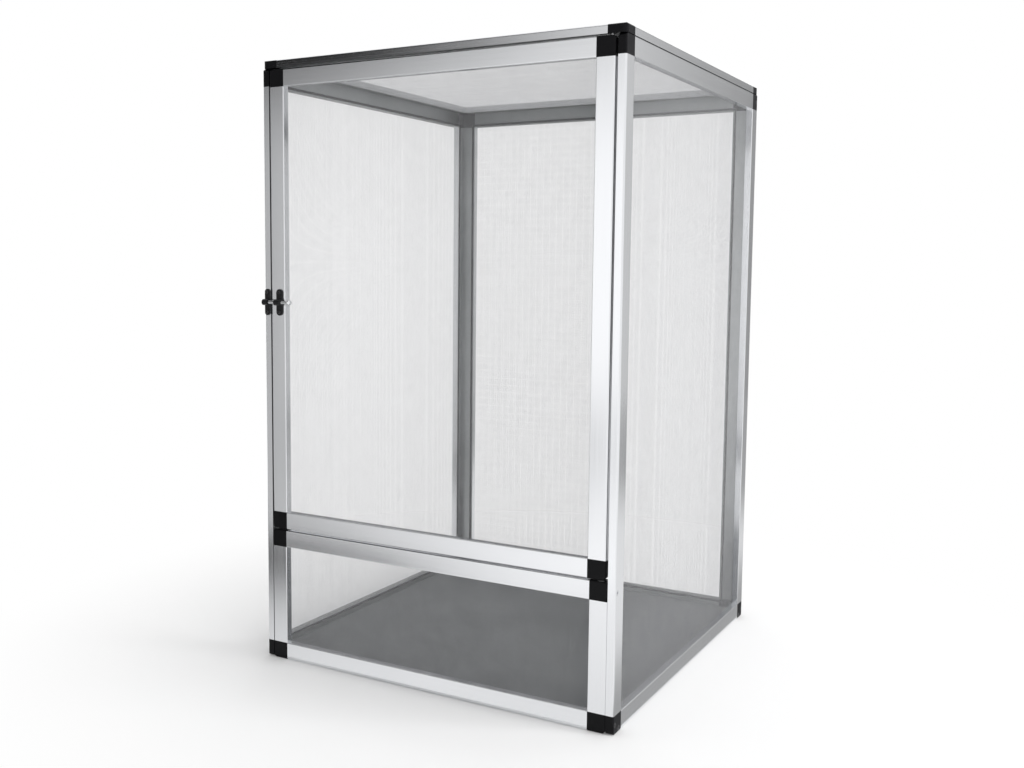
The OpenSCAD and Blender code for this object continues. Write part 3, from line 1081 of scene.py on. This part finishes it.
@dataclass
class ScrewSet:
    """Cross-recessed screws in place of a CAD node's plain ones.

    Attributes:
        rim: Chamfer round a countersunk head.
        dome: Share of a pan head's height that is crowned.
        dome_step: Degrees between the crown's rings.
        point: Radius of the tip, as a share of the shank's.
        recess_reach: Length of a recess arm, as a share of the head's diameter.
        recess_depth: Depth of the recess, as a share of the head's height.
        recess_foot: Length and breadth of an arm at its foot, as shares of those at its mouth.
        recess_lift: How far the cutter stands out of the head.
        slack: Round-off that is allowed where the head's end is looked for.
    """

    node: str
    body: str
    head: HeadForm
    head_d: float
    head_h: float
    shank_d: float
    length: float
    slot: str = "black_screw"
    rim: float = 0.1 * MM
    dome: float = 0.7
    dome_step: int = 15
    point: float = 0.25
    recess_w: float = 0.75 * MM
    recess_reach: float = 0.30
    recess_depth: float = 0.65
    recess_foot: Span = (0.55, 0.8)
    recess_lift: float = 0.2 * MM
    slack: float = 0.01 * MM
    segments: int = 24
    seed: int = 7

    def profile(self) -> list[tuple[float, float]]:
        """Draws half the outline of a screw.

        Returns:
            Radius and depth from the outer face of each point, in metres.
        """
        head_r, shank_r, rim = self.head_d / 2, self.shank_d / 2, self.rim
        tip = [(shank_r, self.length - shank_r), (shank_r * self.point, self.length), (0.0, self.length)]
        if self.head is HeadForm.COUNTERSUNK:
            return [(0.0, 0.0), (head_r - rim, 0.0), (head_r, rim), (shank_r, self.head_h)] + tip
        crown = [
            (head_r * math.sin(a), self.head_h * self.dome * (1 - math.cos(a)))
            for a in (math.radians(d) for d in range(0, 91, self.dome_step))
        ]
        return crown + [(head_r, self.head_h), (shank_r, self.head_h)] + tip

    def turned(self) -> bpy.types.Mesh:
        """Revolves the outline, head outwards along -Z.

        Returns:
            A closed mesh.
        """
        work = bmesh.new()
        verts = [work.verts.new((r, 0.0, z)) for r, z in self.profile()]
        edges = [work.edges.new(pair) for pair in zip(verts, verts[1:])]
        bmesh.ops.spin(
            work, geom=verts + edges, axis=(0, 0, 1), cent=(0, 0, 0), steps=self.segments, angle=2 * math.pi
        )
        bmesh.ops.remove_doubles(work, verts=work.verts, dist=MERGE)
        return closed_mesh(f"{self.node}_turned", work)

    def cross(self) -> bpy.types.Mesh:
        """Makes the tapered cross that cuts the recess.

        Returns:
            A closed mesh.
        """
        work = bmesh.new()
        arm, half = self.head_d * self.recess_reach, self.recess_w / 2
        depth = self.head_h * self.recess_depth
        long, broad = self.recess_foot
        outline = [
            (arm, -half), (arm, half), (half, half), (half, arm), (-half, arm), (-half, half),
            (-arm, half), (-arm, -half), (-half, -half), (-half, -arm), (half, -arm), (half, -half),
        ]
        top = [work.verts.new((x, y, -self.recess_lift)) for x, y in outline]
        low = [work.verts.new((x * long, y * broad, depth)) for x, y in outline]
        work.faces.new(top)
        work.faces.new(low)
        for i in range(len(outline)):
            j = (i + 1) % len(outline)
            work.faces.new((top[i], top[j], low[j], low[i]))
        return closed_mesh(f"{self.node}_cross", work)

    def sample(self) -> bpy.types.Object:
        """Makes one screw with its recess cut.

        Returns:
            A scratch object.
        """
        screw = bpy.data.objects.new(f"{self.node}_sample", self.turned())
        cutter = bpy.data.objects.new(f"{self.node}_cutter", self.cross())
        link(screw, cutter)
        cut = screw.modifiers.new("recess", "BOOLEAN")
        cut.operation, cut.solver, cut.object = "DIFFERENCE", "EXACT", cutter
        depsgraph = bpy.context.evaluated_depsgraph_get()
        screw.data = bpy.data.meshes.new_from_object(screw.evaluated_get(depsgraph))
        screw.modifiers.remove(cut)
        bpy.data.objects.remove(cutter)
        return screw

    def seats(self) -> tuple[list[Vector], list[Vector]]:
        """Reads each screw's place from its CAD solid.

        Returns:
            Middle of each outer face, and the direction in which each screw goes in.
        """
        spots, ways = [], []
        for points in solids_of(self.node):
            low, high = points.min(0), points.max(0)
            axis = int(np.argmax(high - low))
            middle = (low + high) / 2
            # The head is the widest part, so it tells which end faces out.
            reach = np.delete(np.abs(points - middle), axis, axis=1).max(1)
            widest = points[reach > reach.max() - self.slack][:, axis].mean()
            sign = 1.0 if widest < middle[axis] else -1.0
            spot, way = Vector(middle), Vector((0.0, 0.0, 0.0))
            spot[axis] = low[axis] if sign > 0 else high[axis]
            way[axis] = sign
            spots.append(spot)
            ways.append(way)
        return spots, ways

    def build(self, material: bpy.types.Material) -> None:
        """Sets a screw on each seat, turned at random about its own axis.

        Args:
            material: Finish of the screws.
        """
        spots, ways = self.seats()
        points = bpy.data.meshes.new(f"{self.node}_seats")
        points.from_pydata(spots, [], [])
        way = points.attributes.new("way", "FLOAT_VECTOR", "POINT")
        way.data.foreach_set("vector", [c for w in ways for c in w])
        sample = self.sample()
        name = f"{self.node}_set"
        graph = GeometryGraph(name, {"Seed": self.seed, "Material": material})
        seat = graph.node(
            "GeometryNodeInputNamedAttribute", {"data_type": "FLOAT_VECTOR"}, {"Name": "way"}
        )
        aim = graph.node("FunctionNodeAlignRotationToVector", {"axis": "Z"}, {"Vector": seat})
        # Inputs 2 and 3 and output 1 are the node's plain numbers: least turn, most turn and result.
        spin = graph.node(
            "FunctionNodeRandomValue",
            {"data_type": "FLOAT"},
            {2: 0.0, 3: math.pi / 2, "Seed": graph.given("Seed")},
            output=1,
        )
        aim = graph.node(
            "FunctionNodeRotateRotation",
            {"rotation_space": "LOCAL"},
            {"Rotation": aim, "Rotate By": graph.vector(z=spin)},
        )
        screw = graph.node("GeometryNodeObjectInfo", inputs={"Object": sample}, output="Geometry")
        screws = graph.node(
            "GeometryNodeInstanceOnPoints",
            inputs={"Points": graph.given("Geometry"), "Instance": screw, "Rotation": aim},
        )
        graph.finish([screws])
        mesh = graph.mesh(points)
        bpy.data.objects.remove(sample)
        add_piece(name, mesh, self.body, self.slot, self.node)


def add_sheet(name: str, corner: Point, along: Point, up: Point, paint: Paint) -> bpy.types.Object:
    """Adds a flat sheet of the studio, which isn't part of the cage.

    Args:
        name: Name of the sheet.
        corner: Its first corner, in metres.
        along: Its first side.
        up: Its second side.
        paint: Its material.

    Returns:
        The new object.
    """
    start, side, rise = (Vector(v) for v in (corner, along, up))
    mesh = bpy.data.meshes.new(name)
    mesh.from_pydata([start, start + side, start + side + rise, start + rise], [], [(0, 1, 2, 3)])
    chart = mesh.uv_layers.new(name="chart")
    chart.data.foreach_set("uv", [0.0, 0.0, 1.0, 0.0, 1.0, 1.0, 0.0, 1.0])
    mesh.materials.append(paint.material)
    sheet = bpy.data.objects.new(name, mesh)
    link(sheet)
    return sheet


@dataclass(frozen=True)
class Card:
    """A grey studio card that shows only as a reflection, and whose tone changes along it and up it.

    Attributes:
        tones: Tone at the start and at the end of its length.
        turn: Shares of the length between which that tone changes.
        top_tones: The same two tones at its upper edge, where they differ.
        top_turn: Shares of the height between which the upper tones take over.
        top_span: Shares of the length between which the upper tones change.
    """

    name: str
    corner: Point
    along: Point
    up: Point
    tones: Span
    turn: Span = (0.0, 1.0)
    top_tones: Optional[Span] = None
    top_turn: Span = (0.0, 1.0)
    top_span: Optional[Span] = None

    def build(self) -> None:
        """Adds the card."""
        graph = Paint(self.name)
        spot = graph.node("ShaderNodeTexCoord", output="UV")
        across, height = (graph.node("ShaderNodeSeparateXYZ", inputs={0: spot}, output=o) for o in ("X", "Y"))
        rows = ((self.tones, self.turn), (self.top_tones or self.tones, self.top_span or self.turn))
        low, top = (tones[0] + across.step(*span) * (tones[1] - tones[0]) for tones, span in rows)
        tone = low + height.step(*self.top_turn) * (top - low)
        light = graph.node("ShaderNodeEmission", inputs={"Color": tone, "Strength": 1.0})
        graph.node("ShaderNodeOutputMaterial", inputs={"Surface": light})
        card = add_sheet(self.name, self.corner, self.along, self.up, graph)
        for ray in ("camera", "diffuse", "transmission", "volume_scatter", "shadow"):
            setattr(card, f"visible_{ray}", False)


@dataclass(frozen=True)
class Lamp:
    """A square soft lamp, in metres and watts, that faces the middle of the cage and isn't mirrored in it."""

    name: str
    place: Point
    size: float
    power: float

    def build(self) -> None:
        """Adds the lamp."""
        made = bpy.data.objects.new(self.name, bpy.data.lights.new(self.name, "AREA"))
        made.data.size = self.size
        made.data.energy = self.power
        middle = (CAD_BOX[0] + CAD_BOX[1]) / 2
        made.location = self.place
        made.rotation_euler = (middle - Vector(self.place)).to_track_quat("-Z", "Y").to_euler()
        made.visible_glossy = False
        link(made)


@dataclass
class Studio:
    """Pale floor, white surroundings, grey cards, soft lamps and the camera, in metres and degrees."""

    camera_place: Point = (0.7182, -1.3875, 0.5407)
    azimuth: float = 29.83
    pitch: float = 5.38
    roll: float = 0.45
    lens: float = 38.58
    shift: Span = (0.0361, -0.0182)
    floor_size: float = 40.0
    floor_color: Color = (0.93, 0.93, 0.93)
    floor_fade: Span = (0.22, 0.8)
    ambient: float = 0.24
    lamps: tuple[Lamp, ...] = (
        Lamp("key", (1.8, -2.2, 2.3), size=2.2, power=10.0),
        Lamp("side", (5.5, 0.9, 1.3), size=2.4, power=430.0),
        Lamp("top", (0.0, 0.3, 2.8), size=3.0, power=58.0),
    )
    cards: tuple[Card, ...] = (
        Card(
            "front_left_card", (-0.1, -3.7, 0.0), (-3.3, 2.1, 0.0), (0.0, 0.0, 1.6), (1.2, 0.12),
            turn=(0.3, 0.82), top_tones=(1.0, 0.0), top_turn=(0.56, 0.96), top_span=(0.1, 0.65),
        ),
        Card(
            "upper_left_card", (-0.1, -3.7, 1.6), (-3.3, 2.1, 0.0), (0.6, 0.95, 2.4), (0.92, 0.0),
            turn=(0.2, 0.53),
        ),
        Card(
            "left_floor_card", (0.3, -2.6, CARD_LIFT), (-3.3, 0.0, 0.0), (0.0, 1.82, 0.0), (1.15, 0.52),
            turn=(0.08, 0.42),
        ),
        Card(
            "near_floor_card", (0.3, -0.78, CARD_LIFT), (-1.5, 0.0, 0.0), (0.0, 0.52, 0.0), (1.0, 0.08),
            turn=(0.2, 0.6), top_tones=(0.9, 0.6), top_turn=(0.2, 0.9),
        ),
        Card(
            "back_right_card", (0.4, 3.3, 0.0), (2.2, -1.2, 0.0), (0.0, 0.0, 2.6), (0.2, 0.9),
            turn=(0.1, 0.75),
        ),
        Card(
            "right_floor_card", (0.257, -0.3, CARD_LIFT), (1.2, 0.0, 0.0), (0.0, 3.6, 0.0), (0.4, 0.85),
            turn=(0.02, 0.12), top_tones=(0.4, 0.4), top_turn=(0.25, 0.45),
        ),
        Card("back_left_card", (-0.4, 3.3, 0.0), (-3.0, -2.0, 0.0), (0.0, 0.0, 1.8), (0.15, 0.15)),
    )

    def camera(self) -> None:
        """Adds the camera at the photograph's angle."""
        made = bpy.data.objects.new("camera", bpy.data.cameras.new("camera"))
        made.data.lens = self.lens
        made.data.sensor_fit = "HORIZONTAL"
        made.data.shift_x, made.data.shift_y = self.shift
        turn, tilt, roll = (math.radians(a) for a in (self.azimuth, self.pitch, self.roll))
        ahead = Vector((-math.sin(turn) * math.cos(tilt), math.cos(turn) * math.cos(tilt), -math.sin(tilt)))
        right = Vector((math.cos(turn), math.sin(turn), 0.0))
        up = right.cross(ahead)
        right, up = (
            right * math.cos(roll) + up * math.sin(roll),
            up * math.cos(roll) - right * math.sin(roll),
        )
        axes = Matrix((right, up, -ahead)).transposed().to_4x4()
        made.matrix_world = Matrix.Translation(self.camera_place) @ axes
        link(made)
        bpy.context.scene.camera = made

    @staticmethod
    def seen(graph: Graph) -> Socket:
        """Tells rays that show the surroundings from rays that light.

        Args:
            graph: Tree that gets the nodes.

        Returns:
            One for rays from the camera or from metal, zero for the others.
        """
        rays = [
            graph.node("ShaderNodeLightPath", output=name)
            for name in ("Is Camera Ray", "Is Glossy Ray", "Is Transmission Ray")
        ]
        return (rays[0] + rays[1] + rays[2]).clamped()

    def surroundings(self) -> None:
        """Makes the world: white where it shows, and a plain even light."""
        world = bpy.data.worlds.new("studio")
        world.use_nodes = True
        graph = Graph(world.node_tree)
        light, white = (
            graph.node("ShaderNodeBackground", inputs={"Color": WHITE, "Strength": strength})
            for strength in (self.ambient, 1.0)
        )
        both = graph.node("ShaderNodeMixShader", inputs={0: self.seen(graph), 1: light, 2: white})
        graph.node("ShaderNodeOutputWorld", inputs={"Surface": both})
        bpy.context.scene.world = world

    def floor(self) -> None:
        """Adds the pale floor, which turns white away from the cage."""
        graph = Paint("pale_floor")
        spot = graph.node("ShaderNodeTexCoord", output="Object")
        reach = graph.node("ShaderNodeVectorMath", {"operation": "LENGTH"}, {0: spot}, output="Value")
        far = reach.step(*self.floor_fade)
        pale = graph.node("ShaderNodeBsdfDiffuse", inputs={"Color": (*self.floor_color, 1.0)})
        white = graph.node("ShaderNodeEmission", inputs={"Color": WHITE, "Strength": 1.0})
        both = graph.node("ShaderNodeMixShader", inputs={0: far * self.seen(graph), 1: pale, 2: white})
        graph.node("ShaderNodeOutputMaterial", inputs={"Surface": both})
        size = self.floor_size
        add_sheet("floor", (-size / 2, -size / 2, 0.0), (size, 0.0, 0.0), (0.0, size, 0.0), graph)

    def build(self) -> None:
        """Adds everything round the cage."""
        bpy.context.scene.view_settings.view_transform = "Standard"
        self.camera()
        self.surroundings()
        self.floor()
        for part in (*self.cards, *self.lamps):
            part.build()


class Cage:
    """The whole cage, as its sub-assemblies."""

    def __init__(self) -> None:
        """Lists the frames and screws."""
        level = ("front_rail", "back_rail", "left_rail", "right_rail")
        side = ("front_stile", "back_stile", "top_rail", "bottom_rail")
        panel = ("left_stile", "right_stile", "top_rail", "bottom_rail")
        leaf = ("latch_stile", "hinge_stile", "top_rail", "bottom_rail")
        self.frames = [
            ScreenFrame("lid", Wall.LID, level),
            ScreenFrame("left", Wall.LEFT, side),
            ScreenFrame("right", Wall.RIGHT, side),
            ScreenFrame("back", Wall.BACK, panel),
            ScreenFrame("lower", Wall.FRONT, panel),
            ScreenFrame("door", Wall.FRONT, leaf, body="door"),
            ScreenFrame("base", Wall.BASE, level, screened=False),
        ]
        plate_screw = dict(
            head=HeadForm.PAN, head_d=5.0 * MM, head_h=1.6 * MM, shank_d=2.9 * MM, length=9.6 * MM
        )
        frame_screw = dict(
            head=HeadForm.COUNTERSUNK, head_d=6.0 * MM, head_h=1.5 * MM, shank_d=3.0 * MM, length=28.0 * MM
        )
        self.screws = [
            ScrewSet("frame_screws", "cage", **frame_screw),
            ScrewSet("stile_screws", "cage", slot="zinc_screw", **frame_screw),
            ScrewSet("keeper_screws", "cage", **plate_screw),
            ScrewSet("guide_screws", "door", **plate_screw),
        ]

    def build(self, finishes: Finishes) -> None:
        """Builds and dresses every sub-assembly.

        Args:
            finishes: The cage's materials.
        """
        for part in self.frames:
            part.build(finishes)
        dress("floor_board", finishes.floor)
        for pin in ("upper_hinge_pin", "lower_hinge_pin"):
            dress(pin, finishes.pin)
        dress("hinge_washer", finishes.washer)
        for plate in ("latch_keeper", "latch_guide"):
            dress(plate, finishes.latch)
        dress("latch_bolt", finishes.bolt)
        for screws in self.screws:
            screws.build(finishes.screws[screws.slot])


def main() -> None:
    """Builds the cage and the studio."""
    logging.basicConfig(level=logging.INFO, format="%(name)s: %(message)s")
    Cage().build(Finishes())
    Studio().build()


if __name__ == "__main__":
    main()
